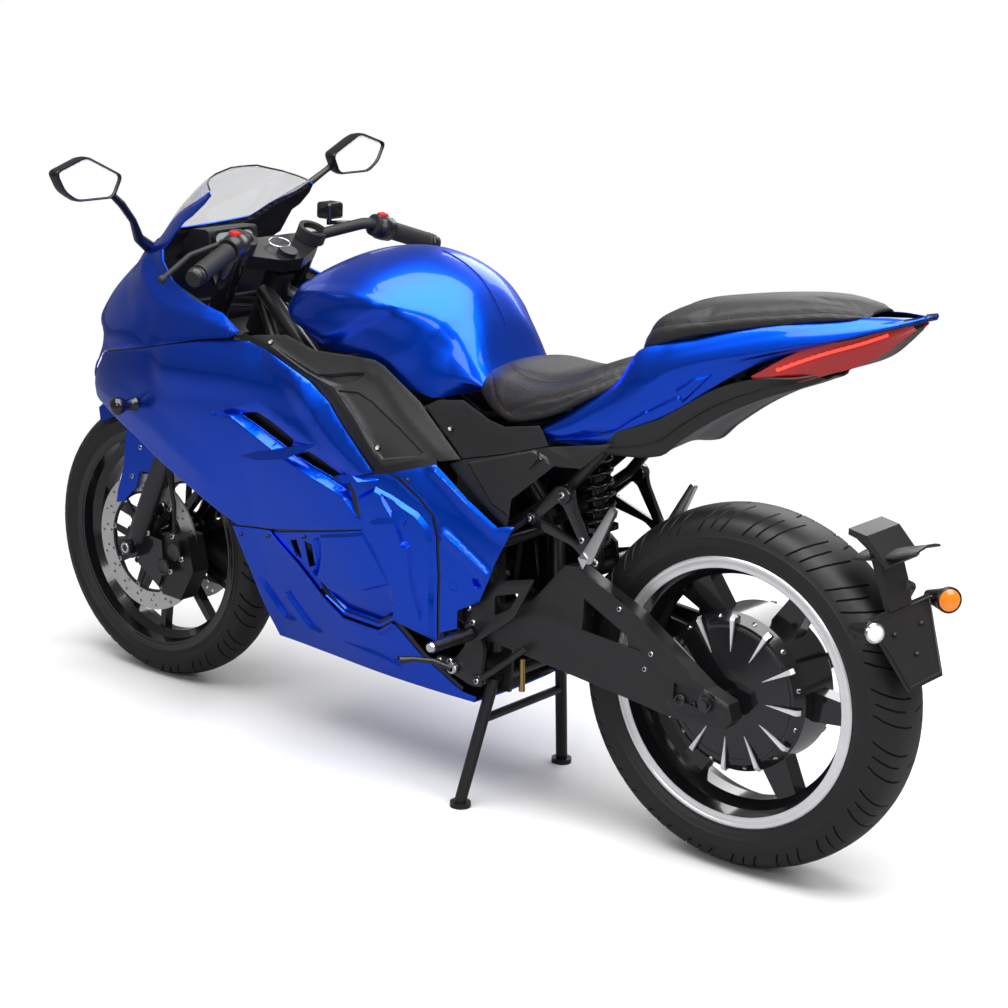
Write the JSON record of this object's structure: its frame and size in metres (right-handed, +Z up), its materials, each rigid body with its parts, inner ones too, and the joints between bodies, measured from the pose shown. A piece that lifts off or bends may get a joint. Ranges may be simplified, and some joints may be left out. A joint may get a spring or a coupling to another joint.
{
  "type": "electric sport motorcycle",
  "caption": "Full fairing electric sport bike with rear hub motor, raked front fork, two seats and a folding centre stand.",
  "frame": {"origin": "on the floor below the middle of the bike", "axes": "+X forwards, +Y to the rider's left, +Z up"},
  "size_m": [2.025, 0.874, 1.102],
  "materials": {
    "paint": "gloss",
    "matt_plastic": "satin",
    "seat_cover_hide": "matt",
    "black_metal": "satin",
    "silver": "brushed",
    "steel": "brushed",
    "tyre": "matt",
    "rubber": "matt",
    "clear": "gloss",
    "red_lens": "gloss",
    "cell_case": "satin"
  },
  "bodies": {
    "chassis": {"frame": "black_metal", "battery_block": "cell_case", "swingarm": "black_metal", "swingarm_pivot_bolt": "steel", "shock_absorber": "black_metal", "shock_spring": "black_metal", "tank_cover": "paint", "rider_seat": "seat_cover_hide", "pillion_seat": "seat_cover_hide", "tail_cover_left": "paint", "tail_cover_right": "paint", "tail_undertray": "matt_plastic", "tail_lamp": "red_lens", "nose_cowl": "paint", "headlamps": "clear", "windscreen": "clear", "dash_unit": "matt_plastic", "cockpit_trims": "matt_plastic", "side_fairing_left": "paint", "side_fairing_right": "paint", "mid_fairing_left": "paint", "mid_fairing_right": "paint", "belly_pan": "paint", "side_cover_left": "matt_plastic", "side_cover_right": "matt_plastic", "seat_cover_left": "matt_plastic", "seat_cover_right": "matt_plastic", "mirror_left": "matt_plastic", "mirror_right": "matt_plastic", "front_indicators": "matt_plastic", "rear_indicators": "matt_plastic", "plate_holder": "matt_plastic", "rider_footrest_left": "black_metal", "rider_footrest_right": "black_metal", "passenger_footrests": "black_metal", "rear_caliper": "black_metal", "rear_axle": "steel"},
    "steering": {"steering_yokes": "black_metal", "fork_leg_left": "black_metal", "fork_leg_right": "black_metal", "clip_on_bar_left": "rubber", "clip_on_bar_right": "rubber", "brake_reservoir": "matt_plastic", "front_fender": "paint", "front_calipers": "black_metal", "front_axle": "steel"},
    "front_wheel": {"front_tyre": "tyre", "front_rim": "black_metal", "front_discs": "steel"},
    "rear_wheel": {"rear_tyre": "tyre", "rear_rim": "black_metal", "rear_disc": "steel"},
    "stand": {"centre_stand": "black_metal"}
  },
  "joints": [
    {"name": "steering_turn", "type": "hinge", "parent": "chassis", "child": "steering", "pos_m": [0.70215, 0, 0.27349], "axis": [-0.4147, 0, 0.91], "range_deg": [-24, 24]},
    {"name": "front_wheel_spin", "type": "hinge", "parent": "steering", "child": "front_wheel", "pos_m": [0.734, 0, 0.288], "axis": [0, 1, 0], "continuous": true},
    {"name": "rear_wheel_spin", "type": "hinge", "parent": "chassis", "child": "rear_wheel", "pos_m": [-0.675, 0, 0.316], "axis": [0, 1, 0], "continuous": true},
    {"name": "centre_stand_fold", "type": "hinge", "parent": "chassis", "child": "stand", "pos_m": [-0.205, 0, 0.236], "axis": [0, 1, 0], "range_deg": [0, 76]}
  ]
}
